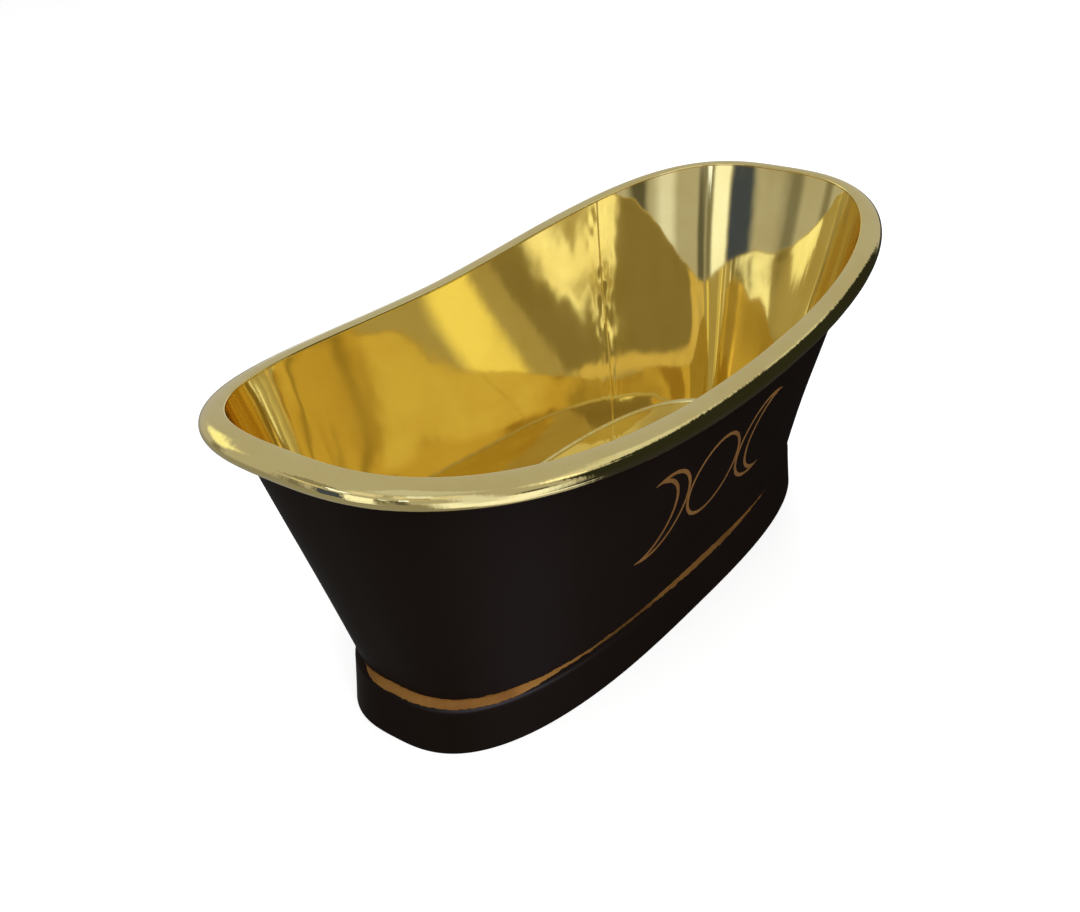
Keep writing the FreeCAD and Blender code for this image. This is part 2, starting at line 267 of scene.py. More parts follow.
def thicken(piece, thickness, skin, inside=None):
    # grows inward; the inside and the edges can have a material of their own
    piece.data.materials.append(skin)
    if inside:
        piece.data.materials.append(inside)
    pickAlone(piece)
    solid = piece.modifiers.new("thickness", "SOLIDIFY")
    solid.thickness = thickness
    solid.offset = -1
    solid.use_even_offset = False
    solid.material_offset = solid.material_offset_rim = 1 if inside else 0
    bpy.ops.object.modifier_apply(modifier=solid.name)


def finishPiece(piece, body, slot, *nodes, smoothAngle=40):
    pickAlone(piece)
    bpy.ops.object.shade_smooth_by_angle(angle=math.radians(smoothAngle))
    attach(piece, body)
    if nodes:
        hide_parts(*nodes)
    print("piece", piece.name, len(piece.data.polygons), "faces")


# material helpers

def setSockets(tree, node, **values):
    # a socket is linked and any other value is set; _0 is the first input, and _ stands for a space
    for name, value in values.items():
        spot = int(name[1:]) if name[0] == "_" else name.replace("_", " ")
        if isinstance(value, bpy.types.NodeSocket):
            tree.links.new(value, node.inputs[spot])
        else:
            node.inputs[spot].default_value = value


def addNode(tree, kind, props=None, **values):
    node = tree.nodes.new("ShaderNode" + kind)
    for name, value in (props or {}).items():
        setattr(node, name, value)
    setSockets(tree, node, **values)
    return node


def addMath(tree, operation, *values, **props):
    sockets = {"_%d" % spot: value for spot, value in enumerate(values)}
    return addNode(tree, "Math", {"operation": operation, **props}, **sockets).outputs[0]


def addDirection(tree, vector):
    return addNode(tree, "VectorMath", {"operation": "NORMALIZE"}, _0=vector).outputs[0]


def addMix(tree, share, first, second):
    return addNode(tree, "MixRGB", Fac=share, Color1=first, Color2=second).outputs[0]


def addRange(tree, value, low, high, toLow=0.0, toHigh=1.0, kind="LINEAR"):
    return addNode(tree, "MapRange", {"interpolation_type": kind}, Value=value, From_Min=low, From_Max=high,
                   To_Min=toLow, To_Max=toHigh).outputs[0]


def addNoise(tree, place, scale, detail, roughness=0.5):
    return addNode(tree, "TexNoise", Vector=place, Scale=scale, Detail=detail,
                   Roughness=roughness).outputs["Fac"]


def addBump(tree, strength, distance, height, **values):
    return addNode(tree, "Bump", Strength=strength, Distance=distance, Height=height, **values).outputs[0]


def addAttribute(tree, name):
    return addNode(tree, "Attribute", {"attribute_name": name}).outputs["Fac"]


def objectPlace(tree):
    return addNode(tree, "TexCoord").outputs["Object"]


def newMaterial(name):
    material = bpy.data.materials.new(name)
    material.use_nodes = True
    tree = material.node_tree
    return material, tree, tree.nodes["Principled BSDF"]


def newGroup(name, inputs, outputs):
    tree = bpy.data.node_groups.new(name, "ShaderNodeTree")
    for way, sockets in (("INPUT", inputs), ("OUTPUT", outputs)):
        for label, kind in sockets.items():
            tree.interface.new_socket(label, in_out=way, socket_type="NodeSocket" + kind)
    return tree, tree.nodes.new("NodeGroupInput").outputs, tree.nodes.new("NodeGroupOutput")


def useGroup(tree, group, **values):
    return addNode(tree, "Group", {"node_tree": group}, **values).outputs


polishLook = {
    "cloudScale": 7.0,
    "cloudRange": (0.42, 0.72),  # from clean to tarnished
    "cloudHeight": 0.35,
    "lineStretch": (420.0, 420.0, 6.0),
    "speckScale": 260.0,
    "speckRange": (0.66, 0.74),
    "roughness": 0.022,
    "lineRoughness": 0.05,
    "tarnishRoughness": 0.03,
}


def makeHandPolish():
    # what a polishing mop leaves: soft clouds of tarnish, fine lines up the sheet, small specks
    look = polishLook
    tree, given, out = newGroup("handPolish", {"Place": "Vector", "Lines": "Float", "Clouds": "Float"},
                                {"Tarnish": "Float", "Roughness": "Float", "Height": "Float"})
    place = given["Place"]
    clouds = addNoise(tree, place, look["cloudScale"], detail=5.0, roughness=0.6)
    cloudShare = addMath(tree, "MULTIPLY", addRange(tree, clouds, *look["cloudRange"]), given["Clouds"])
    stretched = addNode(tree, "Mapping", Vector=place, Scale=look["lineStretch"]).outputs[0]
    lines = addNoise(tree, stretched, 1.0, detail=3.0, roughness=0.7)
    lineShare = addMath(tree, "MULTIPLY", lines, given["Lines"])
    specks = addNoise(tree, place, look["speckScale"], detail=2.0)
    speckShare = addRange(tree, specks, *look["speckRange"])
    tarnish = addMath(tree, "ADD", cloudShare, speckShare, use_clamp=True)
    lined = addMath(tree, "MULTIPLY_ADD", lineShare, look["lineRoughness"], look["roughness"])
    rough = addMath(tree, "MULTIPLY_ADD", tarnish, look["tarnishRoughness"], lined)
    height = addMath(tree, "MULTIPLY_ADD", clouds, look["cloudHeight"], lineShare)
    setSockets(tree, out, Tarnish=tarnish, Roughness=rough, Height=height)
    return tree


edgeLook = {"scale": 60.0, "edge": (-0.0002, 0.0003)}


def makeRaggedEdge():
    # a hand-masked paint edge: a distance in metres becomes a mask with a wandering edge
    tree, given, out = newGroup("raggedEdge", {"Place": "Vector", "Distance": "Float", "Wander": "Float"},
                                {"Mask": "Float"})
    wave = addNoise(tree, given["Place"], edgeLook["scale"], detail=4.0, roughness=0.65)
    shift = addMath(tree, "SUBTRACT", wave, 0.5)
    moved = addMath(tree, "MULTIPLY_ADD", shift, given["Wander"], given["Distance"])
    setSockets(tree, out, Mask=addRange(tree, moved, *edgeLook["edge"]))
    return tree


grainLook = {"toneScale": 5.0, "roughness": 0.36, "toneRoughness": 0.18}


def makeCoatGrain():
    # sprayed or brushed paint: a fine skin and a little change of tone
    tree, given, out = newGroup("coatGrain", {"Place": "Vector", "Grain": "Float"},
                                {"Tone": "Float", "Roughness": "Float", "Height": "Float"})
    tone = addNoise(tree, given["Place"], grainLook["toneScale"], detail=6.0, roughness=0.6)
    skin = addNoise(tree, given["Place"], given["Grain"], detail=2.0)
    rough = addMath(tree, "MULTIPLY_ADD", tone, grainLook["toneRoughness"], grainLook["roughness"])
    setSockets(tree, out, Tone=tone, Roughness=rough, Height=skin)
    return tree


handPolish = makeHandPolish()
raggedEdge = makeRaggedEdge()
coatGrain = makeCoatGrain()

brassFinish = {
    "clean": (0.87, 0.72, 0.31, 1),
    "tarnished": (0.78, 0.605, 0.215, 1),
    "bump": 0.35,
    "hammerScale": 75.0,
}


def makeBrass(name, lines, clouds, bumpDistance, hammer=0.0):
    finish = brassFinish
    material, tree, shader = newMaterial(name)
    place = objectPlace(tree)
    polish = useGroup(tree, handPolish, Place=place, Lines=lines, Clouds=clouds)
    bump = addBump(tree, finish["bump"], bumpDistance, polish["Height"])
    if hammer:  # small flats left by the planishing hammer
        flats = addNoise(tree, place, finish["hammerScale"], detail=2.0)
        bump = addBump(tree, 1.0, hammer, flats, Normal=bump)
    colour = addMix(tree, polish["Tarnish"], finish["clean"], finish["tarnished"])
    setSockets(tree, shader, Base_Color=colour, Roughness=polish["Roughness"], Metallic=1.0, Normal=bump)
    return material


coatFinish = {
    "black": (0.0094, 0.0056, 0.0042, 1),
    "brown": (0.0135, 0.0084, 0.0060, 1),
    "paintedSheen": (0.066, 0.060, 0.068, 1),  # painted highlight: a lighter grey that stands in for the sky's sheen on the plinth's shoulder
    "grain": 700.0,
    "specular": 0.02,
    "edgeStep": -6.0,  # down from the paint to the bare metal
    "edgeWander": 0.010,
    "bump": 0.25,
    "bumpDistance": 0.0001,
    "stripe": (0.42, 0.20, 0.050, 1),
    "stripeDark": (0.22, 0.092, 0.025, 1),
    "darkened": (0.030, 0.018, 0.006, 1),  # the colour the stripe darkens to along parts of its length
    "shine": 0.35,  # of the stripe
}


def makeBlackCoat():
    # black-brown lacquer, with the bare metal showing wherever bareBand is above nothing
    finish = coatFinish
    material, tree, shader = newMaterial("blackCoat")
    place = objectPlace(tree)
    grain = useGroup(tree, coatGrain, Place=place, Grain=finish["grain"])
    fresh = addMix(tree, grain["Tone"], finish["black"], finish["brown"])
    # painted highlight: the coat turns a lighter grey along the plinth's shoulder edge, standing in for the
    # sky's sheen there
    paint = addMix(tree, addAttribute(tree, "paintedShoulderSheen"), fresh, finish["paintedSheen"])
    bare = useGroup(tree, raggedEdge, Place=place, Distance=addAttribute(tree, "bareBand"),
                    Wander=finish["edgeWander"])["Mask"]
    polish = useGroup(tree, handPolish, Place=place, Lines=1.0, Clouds=1.0)
    worn = addMix(tree, polish["Tarnish"], finish["stripe"], finish["stripeDark"])
    # the stripe is darker along parts of its length, by as much as its darkening attribute says
    metal = addMix(tree, addAttribute(tree, "stripeDarkening"), worn, finish["darkened"])
    colour = addMix(tree, bare, paint, metal)
    shine = addMath(tree, "MULTIPLY", bare, finish["shine"])
    edge = addMath(tree, "MULTIPLY_ADD", bare, finish["edgeStep"], grain["Height"])
    bump = addBump(tree, finish["bump"], finish["bumpDistance"], edge)
    setSockets(tree, shader, Base_Color=colour, Metallic=shine, Roughness=grain["Roughness"],
               Specular_IOR_Level=finish["specular"], Normal=bump)
    return material


bareFinish = {
    "bright": (0.46, 0.215, 0.052, 1),
    "dark": (0.30, 0.13, 0.032, 1),
    "dullness": 0.28,
    "shine": 0.35,
    "bump": 0.3,
    "bumpDistance": 0.0001,
}


def makeBareMetal():
    # the ornament's lines, which the paint leaves open
    finish = bareFinish
    material, tree, shader = newMaterial("bareCopper")
    polish = useGroup(tree, handPolish, Place=objectPlace(tree), Lines=1.0, Clouds=1.0)
    colour = addMix(tree, polish["Tarnish"], finish["bright"], finish["dark"])
    rough = addMath(tree, "ADD", polish["Roughness"], finish["dullness"])
    bump = addBump(tree, finish["bump"], finish["bumpDistance"], polish["Height"])
    setSockets(tree, shader, Base_Color=colour, Metallic=finish["shine"], Roughness=rough, Normal=bump)
    return material


paintFinish = {"bump": 0.3, "bumpDistance": 0.0002}


def makePaint(name, dark, light, grainSize, metallic=0.0, polish=0.0):
    material, tree, shader = newMaterial(name)
    grain = useGroup(tree, coatGrain, Place=objectPlace(tree), Grain=grainSize)
    colour = addMix(tree, grain["Tone"], dark, light)
    rough = addMath(tree, "SUBTRACT", grain["Roughness"], polish)
    bump = addBump(tree, paintFinish["bump"], paintFinish["bumpDistance"], grain["Height"])
    setSockets(tree, shader, Base_Color=colour, Metallic=metallic, Roughness=rough, Normal=bump)
    return material


innerBrass = makeBrass("innerBrass", lines=1.0, clouds=0.5, bumpDistance=0.00002)
rimBrass = makeBrass("rimBrass", lines=0.08, clouds=0.5, bumpDistance=0.00003, hammer=0.0003)
floorBrass = makeBrass("floorBrass", lines=0.15, clouds=1.0, bumpDistance=0.00003)
weldBrass = makeBrass("weldBrass", lines=0.8, clouds=1.0, bumpDistance=0.00012)
fittingBrass = makeBrass("fittingBrass", lines=0.3, clouds=0.4, bumpDistance=0.00002)
blackCoat = makeBlackCoat()
bareCopper = makeBareMetal()
rawBrass = makePaint("rawBrass", (0.36, 0.26, 0.09, 1), (0.56, 0.42, 0.16, 1), grainSize=300.0,
                     metallic=1.0)
framePaint = makePaint("framePaint", (0.040, 0.041, 0.043, 1), (0.075, 0.077, 0.080, 1), grainSize=900.0)
zincPlate = makePaint("zincPlate", (0.42, 0.43, 0.44, 1), (0.62, 0.62, 0.60, 1), grainSize=1400.0,
                      metallic=1.0, polish=0.08)
blackRubber = makePaint("blackRubber", (0.010, 0.010, 0.010, 1), (0.022, 0.022, 0.021, 1),
                        grainSize=2200.0, polish=-0.2)
greyPlastic = makePaint("greyPlastic", (0.16, 0.16, 0.16, 1), (0.22, 0.22, 0.215, 1), grainSize=1800.0,
                        polish=0.05)
print("materials made")


# the wall: two bent sheets, polished inside and black outside

wallSheets = {
    "rows": 72,
    # each wave: its height, its scale around and upward, and where its noise starts
    "longWave": (0.0011, 3.6, 1.6, (0, 0, 0)),  # slow, over the whole sheet
    "bendWave": (0.0007, 11, 1.2, (3.1, 0, 0)),  # upright creases that the rolls left in the corners
    "fineWave": (0.00012, 27, 0.8, (0, 5.3, 0)),
    "dents": (0.00004, 38, 38, (0, 7.7, 0)),
    "pucker": (0.0004, 60, 32, (0, 0, 4.0)),  # beside the welded seams
    "puckerWidth": 0.030,
    "fineBend": 0.3,  # the fine wave is full from this share of the sharpest bend
    "waveSlant": 0.55,
    "edgeFade": 0.07,
    "tuckGuess": 0.93,
    "tuckSteps": 4,
    "bareFoot": 0.15,  # how much of the bare stripe lies above the crease
    "bareTop": 0.0035,  # bare line under the rim
}


def wallHeightAtTuck(station):
    # where the rolled rim's tucked edge meets the wall, as a share of the way up the sheet
    centre, out = rimCentres[station], rimOuts[station]
    share = wallSheets["tuckGuess"]
    for step in range(wallSheets["tuckSteps"]):
        drop = -rollHeight((wallPoint(station, share) - centre).dot(out))
        share = shareAt(wallFeet[station], wallTops[station], centre.z + drop)
    return share


tuckShares = [wallHeightAtTuck(station) for station in range(stations)]


def seamDistance(station):
    half = stations // 2
    near = min(station % half, half - station % half)
    return near * rimGirth / stations


def waveLayer(name, ring, tall):
    height, around, upward, (startX, startY, startZ) = wallSheets[name]
    return height * noise.noise(ring * around + Vector((startX, startY, startZ + tall * upward)))


def wallWave(station, share):
    settings = wallSheets
    along = station / stations * math.tau
    ring = Vector((math.cos(along), math.sin(along), 0)) * (rimGirth / math.tau)
    tall = share * settings["waveSlant"]
    bend = bendShares[station]
    wave = waveLayer("longWave", ring, tall)
    wave += waveLayer("bendWave", ring, tall) * bend
    wave += waveLayer("fineWave", ring, tall) * smoothStep(0, settings["fineBend"], bend)
    wave += waveLayer("dents", ring, tall)
    wave += waveLayer("pucker", ring, tall) * hump(seamDistance(station), 0, settings["puckerWidth"])
    return wave * fadeEnds(share, settings["edgeFade"])


bareStripe = {
    "start": 163,  # degrees round the oval, and again half a turn on; the other places count from here
    "endRise": 13,  # broad by here
    "endFall": (56, 76),
    "sideFall": (115, 139),
    "endWidth": 0.0208,
    "sideWidth": 0.0082,
    "swellWidth": 0.007,  # a wider stretch at the middle of the side
    "swellPlace": 109,
    "swellReach": 9,
    "paintOver": 0.003,  # the paint covers the crease by this much where no stripe is left
    "brightPlace": 50,
    "brightReach": 28,
    "dull": 0.35,  # darker away from the bright stretch
    "darkPlace": 88,
    "darkReach": 9,
    "darkened": 0.40,
    "sheenPlace": 53,  # where a painted highlight lightens the shoulder under the stripe
    "sheenReach": 22,
    "sheenDrop": 0.0032,
    "sheenHeight": 0.0034,
}


def stripePlace(turn):
    return (math.degrees(turn) - bareStripe["start"]) % 180


def stripeWidth(turn):
    # the hand-masked stripe under the crease: broad round an end, thinning out along the side
    stripe = bareStripe
    along = stripePlace(turn)
    endPart = smoothStep(0, stripe["endRise"], along) * smoothStep(*reversed(stripe["endFall"]), along)
    sidePart = smoothStep(*stripe["endFall"], along) * smoothStep(*reversed(stripe["sideFall"]), along)
    swell = hump(along, stripe["swellPlace"], stripe["swellReach"])
    width = endPart * stripe["endWidth"] + sidePart * stripe["sideWidth"] + swell * stripe["swellWidth"]
    return width - stripe["paintOver"]


def stripeDarkening(turn):
    # how much darker the stripe is here: darker away from the bright stretch, darkest round one place
    stripe = bareStripe
    along = stripePlace(turn)
    dull = 1 - hump(along, stripe["brightPlace"], stripe["brightReach"])
    return stripe["dull"] * dull + stripe["darkened"] * hump(along, stripe["darkPlace"], stripe["darkReach"])


def paintedShoulderSheen(turn, drop):
    # how strong the painted highlight is at this drop below the shoulder's edge
    stripe = bareStripe
    around = hump(stripePlace(turn), stripe["sheenPlace"], stripe["sheenReach"])
    return around * hump(drop, stripe["sheenDrop"], stripe["sheenHeight"])


def makeWallSheets():
    settings = wallSheets
    rows, half = settings["rows"], stations // 2
    far = addDrum("wallSheetFar", stations, rows)
    bands = {}

    def place(station, row):
        share = row / rows
        slant = (wallTops[station] - wallFeet[station]).length
        fromFoot = settings["bareFoot"] * stripeWidth(stationTurns[station]) - share * slant
        fromTuck = (share - tuckShares[station]) * slant + settings["bareTop"]
        bands[station, row] = max(fromFoot, fromTuck)
        return wallPoint(station, share) + rimOuts[station] * wallWave(station, share)

    spots = shapeDrum(far, stations, rows, place)
    giveAttribute(far, "bareBand", [bands[spot] for spot in spots])

    def isNear(face):
        held = [spots[vertex.index][0] for vertex in face.verts]
        return max(held) > half or (0 in held and stations - 1 in held)

    # the faces of the second half become the near sheet
    pickInEdit(far, "FACE", isNear)
    bpy.ops.mesh.separate(type="SELECTED")
    bpy.ops.object.mode_set(mode="OBJECT")
    near = [other for other in bpy.context.selected_objects if other != far][0]
    near.name = near.data.name = "wallSheetNear"
    for piece, node in ((far, "wall_sheet_far"), (near, "wall_sheet_near")):
        thicken(piece, sheet, blackCoat, innerBrass)
        finishPiece(piece, "tub", "wall", node)


makeWallSheets()


# the two dressed weld seams, a low bead inside the wall, flush under the paint outside

seamBead = {
    "rows": 150,
    "across": 10,
    "halfWidth": 0.003,
    "proud": 0.0003,
    "ripple": 0.0003,
    "rippleScale": 160,
    "lift": 0.00002,  # off the wall at the bead's edges
    "depth": 0.0015,
}


def makeSeamBead(name, station, *nodes):
    settings = seamBead
    bead = addShape(name, bpy.ops.mesh.primitive_grid_add, x_subdivisions=settings["across"],
                    y_subdivisions=settings["rows"], size=1)
    out = rimOuts[station]
    side = out.cross(Vector((0, 0, 1)))
    for vertex in bead.data.vertices:
        across, share = vertex.co.x * 2, vertex.co.y + 0.5
        middle = wallPoint(station, share)
        swell = settings["proud"] * (1 - across * across)
        ripple = settings["ripple"] * (1 - abs(across)) * noise.noise(middle * settings["rippleScale"])
        inward = -sheet - swell - ripple - settings["lift"]
        point = middle + out * (wallWave(station, share) + inward)
        vertex.co = point + side * across * settings["halfWidth"]
    thicken(bead, settings["depth"], weldBrass)
    finishPiece(bead, "tub", "wall", *nodes)


makeSeamBead("wallSeamFar", 0, "wall_seam_welds")
makeSeamBead("wallSeamNear", stations // 2)


# the rolled rim: an elliptical roll that follows the sheer line, its lip folded down over the wall

rimRoll = {
    "rollRows": 38,
    "lipRows": 8,
    "clearance": 0.0006,  # stays this far inside the measured box
    "tuckGap": 0.0004,
    "overhang": 0.0012,
    "lipDrop": 0.0015,
    "lipTurn": 0.0004,  # the lip's end leans to the wall
    "ripple": 0.0003,
    "rippleWaves": ((9, 0.7), (26, 0.3)),  # scale and share
}


def rimSection(station):
    # out and up from the roll's middle: under the rim, round the outside, over the top, down the lip
    settings = rimRoll
    reach = tubShape["rimReach"] - settings["clearance"]
    tall = tubShape["rimHalfHeight"] - settings["clearance"]
    point = wallPoint(station, tuckShares[station])
    tuck = (point - rimCentres[station]).dot(rimOuts[station]) + settings["tuckGap"]
    start = -math.acos(max(-1, min(1, tuck / reach)))
    lipOut = -(tubShape["rimLip"] + settings["overhang"])
    bend = tubShape["lipBend"]
    topOut = lipOut + bend
    end = math.acos(topOut / reach)
    section = []
    for row in range(settings["rollRows"]):
        turn = start + (end - start) * row / (settings["rollRows"] - 1)
        section.append((reach * math.cos(turn), tall * math.sin(turn)))
    topUp = section[-1][1]
    lipArcRows = settings["lipRows"] - 2
    for row in range(1, lipArcRows + 1):
        turn = math.pi / 2 * (1 + row / lipArcRows)
        section.append((topOut + bend * math.cos(turn), topUp - bend + bend * math.sin(turn)))
    section.append((lipOut, topUp - bend - settings["lipDrop"] / 2))
    section.append((lipOut + settings["lipTurn"], topUp - bend - settings["lipDrop"]))
    return section


def makeRim():
    settings = rimRoll
    rows = settings["rollRows"] + settings["lipRows"] - 1
    rim = addDrum("rolledRim", stations, rows)
    sections = [rimSection(station) for station in range(stations)]

    def place(station, row):
        out = rimOuts[station]
        outward, upward = sections[station][row]
        point = rimCentres[station] + out * outward + Vector((0, 0, upward))
        ripple = sum(share * noise.noise(point * scale) for scale, share in settings["rippleWaves"])
        away = (out * outward + Vector((0, 0, upward))).normalized()
        return point + away * (ripple * settings["ripple"] - settings["ripple"])

    shapeDrum(rim, stations, rows, place)
    thicken(rim, sheet, rimBrass)
    finishPiece(rim, "tub", "brass", "rim_roll_far", "rim_roll_near", smoothAngle=50)


makeRim()


# the floor, with the hole for the waste, and the weld bead round it

floorSheet = {
    "around": 320,
    "rows": 36,
    "holeRadius": 0.0255,
    "wave": 0.0005,
    "waveScale": 7,
    "edgeFade": 0.15,
}


def makeFloor():
    settings = floorSheet
    around, rows = settings["around"], settings["rows"]
    plate = addDrum("floorSheet", around, rows)
    step = stations // around

    def place(station, row):
        turn = stationTurns[station * step]
        edge = ovalPoint(floorHigh.x, floorHigh.y, tubShape["footFullness"], turn, floorHigh.z)
        hole = Vector((math.cos(turn), math.sin(turn), 0)) * settings["holeRadius"]
        hole.z = floorHigh.z
        share = row / rows
        point = mix(edge, hole, share)
        wave = settings["wave"] * noise.noise(point * settings["waveScale"])
        point.z += fadeEnds(share, settings["edgeFade"]) * wave
        return point

    shapeDrum(plate, around, rows, place)
    thicken(plate, sheet, floorBrass, rawBrass)
    finishPiece(plate, "tub", "brass", "floor_plate")


makeFloor()

floorBead = {
    "rows": 8,
    "leg": 0.0065,
    "bulge": 0.0012,
    "ripple": 0.0004,
    "rippleScale": 90,
    "wallBite": 0.0002,
    "floorBite": 0.0001,
    "depth": 0.0015,
}


def makeFloorBead():
    settings = floorBead
    rows = settings["rows"]
    bead = addDrum("floorWeld", stations, rows)

    def place(station, row):
        foot, out = wallFeet[station], rimOuts[station]
        share = shareAt(foot, wallTops[station], floorHigh.z + settings["leg"])
        high = wallPoint(station, share) - out * (sheet - settings["wallBite"])
        low = foot - out * (sheet + settings["leg"])
        low.z = floorHigh.z - settings["floorBite"]
        across = row / rows
        point = mix(high, low, across)
        swell = math.sin(math.pi * across)
        lift = settings["bulge"] + settings["ripple"] * noise.noise(point * settings["rippleScale"])
        return point + (Vector((0, 0, 1)) - out).normalized() * swell * lift

    shapeDrum(bead, stations, rows, place)
    thicken(bead, settings["depth"], weldBrass)
    finishPiece(bead, "tub", "wall", "floor_weld", smoothAngle=60)


makeFloorBead()


# the plinth skirt: hem, upright face, swelling shoulder and the flange under the wall

plinthSkirt = {
    "groundInset": (0.0004, 0.0002),  # stays this far inside the measured box
    "hemWidth": 0.022,
    "hemBand": -0.05,  # far from any bare metal
    "uprightRows": 16,
    "uprightCrowding": 1.7,  # rows crowd towards the shoulder
    "shoulderRows": 12,
    "shoulderDrop": 0.014,
    "shoulderEnds": 0.012,
    "shoulderSides": 0.003,
    "shoulderBulge": 0.0015,
    "flangeWidth": 0.018,
    "wave": 0.0006,
    "waveScale": 6,
    "waveBias": 0.3,  # more in than out
    "edgeFade": 0.2,
}


def makeSkirt():
    settings = plinthSkirt
    upright, shoulder = settings["uprightRows"], settings["shoulderRows"]
    rows = upright + shoulder + 2
    skirt = addDrum("plinthSkirt", stations, rows)
    halfLength, halfWidth, fullness = footOval
    inset = settings["groundInset"]
    groundOval = (skirtHigh.x - inset[0], skirtHigh.y - inset[1], fullness)
    edgeOval = (halfLength + settings["shoulderEnds"], halfWidth + settings["shoulderSides"], fullness)
    edgeHeight = creaseHeight - settings["shoulderDrop"]
    bands = {}
    # the painted highlight along the shoulder's edge, kept for each vertex
    sheens = {}

    def place(station, row):
        turn = stationTurns[station]
        low = ovalPoint(*groundOval, turn, skirtLow.z)
        middle = ovalPoint(*edgeOval, turn, edgeHeight)
        high = ovalPoint(*footOval, turn, creaseHeight)
        out = ovalOut(*groundOval, low)
        shoulderLength = (high - middle).length
        stripe = stripeWidth(turn)
        if row == 0:
            bands[station, row] = settings["hemBand"]
            return low - out * settings["hemWidth"]
        if row <= upright + 1:
            share = 1 - (1 - (row - 1) / upright) ** settings["uprightCrowding"]
            point = mix(low, middle, share)
            drop = (1 - share) * (middle - low).length
            bands[station, row] = stripe - shoulderLength - drop
            sheens[station, row] = paintedShoulderSheen(turn, drop)
            wave = noise.noise(point * settings["waveScale"]) - settings["waveBias"]
            return point + out * fadeEnds(share, settings["edgeFade"]) * settings["wave"] * wave
        if row <= upright + 1 + shoulder:
            share = (row - upright - 1) / shoulder
            point = mix(middle, high, share)
            bulge = 4 * share * (1 - share) * settings["shoulderBulge"]
            bands[station, row] = stripe - (1 - share) * shoulderLength
            sheens[station, row] = paintedShoulderSheen(turn, -share * shoulderLength)
            return point + (out + Vector((0, 0, 1))).normalized() * bulge
        bands[station, row] = stripe
        return high - out * settings["flangeWidth"]

    spots = shapeDrum(skirt, stations, rows, place)
    giveAttribute(skirt, "bareBand", [bands[spot] for spot in spots])
    # the painted highlight on the shoulder's edge goes to the coat as an attribute
    giveAttribute(skirt, "paintedShoulderSheen", [sheens.get(spot, 0.0) for spot in spots])
    # how much darker the stripe is at each vertex
    giveAttribute(skirt, "stripeDarkening", [stripeDarkening(stationTurns[station]) for station, row in spots])
    thicken(skirt, sheet, blackCoat, rawBrass)
    finishPiece(skirt, "tub", "black_paint", "skirt_head", "skirt_foot", smoothAngle=50)


makeSkirt()


# the ornament on the near wall: a full moon between two crescents, lines of bare metal

moonLines = {
    "centreX": -0.038,
    "centreHeight": 0.364,
    "ringRadius": 0.092,
    "outerRadius": 0.102,
    "innerRadius": 0.093,
    "innerShift": 0.040,
    "stroke": 0.0085,
    "wander": 0.0006,
    "wanderScale": 70,
    "proud": 0.00025,
    "depth": 0.0005,
    "rows": 6,
    "around": 320,
    "halvings": 36,  # in the search for a place on the wall
}


def wallSpot(x, height):
    # the point on the near wall's outer face at this x and height, and the way out of the wall there
    low, high = math.pi, math.tau
    for step in range(moonLines["halvings"]):
        turn = (low + high) / 2
        foot, top, out = wallFoot(turn), wallTop(turn), rimOut(turn)
        share = shareAt(foot, top, height)
        point = wallLine(foot, top, out, share)
        if point.x < x:
            low = turn
        else:
            high = turn
    travelled = (turn - tubShape["seamAngle"]) % math.tau
    wanted = tubShape["seamAngle"] + travelled
    station = min(range(stations), key=lambda spot: abs(stationTurns[spot] - wanted))
    return point + out * wallWave(station, share), out


def crescentOutline(inset, share):
    # round the left crescent's outline, seen from outside: its outer arc, then back along its inner arc
    settings = moonLines
    outer, inner = settings["outerRadius"] - inset, settings["innerRadius"] + inset
    shift = settings["innerShift"]
    tip = (shift * shift + outer * outer - inner * inner) / (2 * shift)
    outerTurn = math.pi - math.acos(tip / outer)
    innerTurn = math.acos(max(-1, min(1, (shift - tip) / inner)))
    if share < 0.5:
        turn = outerTurn * (4 * share - 1)
        return outer * math.cos(turn), outer * math.sin(turn)
    turn = innerTurn * (3 - 4 * share)
    return inner * math.cos(turn) - shift, inner * math.sin(turn)


def makeMoon(name, side):
    # side is -1 for the crescent towards the head, 0 for the ring and 1 for the crescent towards the foot
    settings = moonLines
    rows, around = settings["rows"], settings["around"]
    reach = settings["ringRadius"] + settings["outerRadius"]
    moon = addDrum(name, around, rows)

    def place(station, row):
        share, inset = station / around, settings["stroke"] * row / rows
        if side == 0:
            turn = share * math.tau
            radius = settings["ringRadius"] - inset
            across, up = radius * math.cos(turn), radius * math.sin(turn)
        else:
            across, up = crescentOutline(inset, share if side < 0 else (0.5 - share) % 1)
            across = side * (reach - across)
        x, height = settings["centreX"] + across, settings["centreHeight"] + up
        wander = settings["wander"] * noise.noise(Vector((x, 0, height)) * settings["wanderScale"])
        spot, out = wallSpot(x + wander, height + wander)
        lift = settings["proud"] * math.sqrt(math.sin(math.pi * row / rows)) if 0 < row < rows else 0
        return spot + out * lift

    shapeDrum(moon, around, rows, place)
    thicken(moon, settings["depth"], bareCopper)
    finishPiece(moon, "tub", "brass")


makeMoon("moonCrescentHead", -1)
makeMoon("moonRing", 0)
makeMoon("moonCrescentFoot", 1)


# the waste's two turned pieces that show: the plug's cap and the flanged body under it

turnedPiece = {"around": 96, "mergeReach": 0.00001}


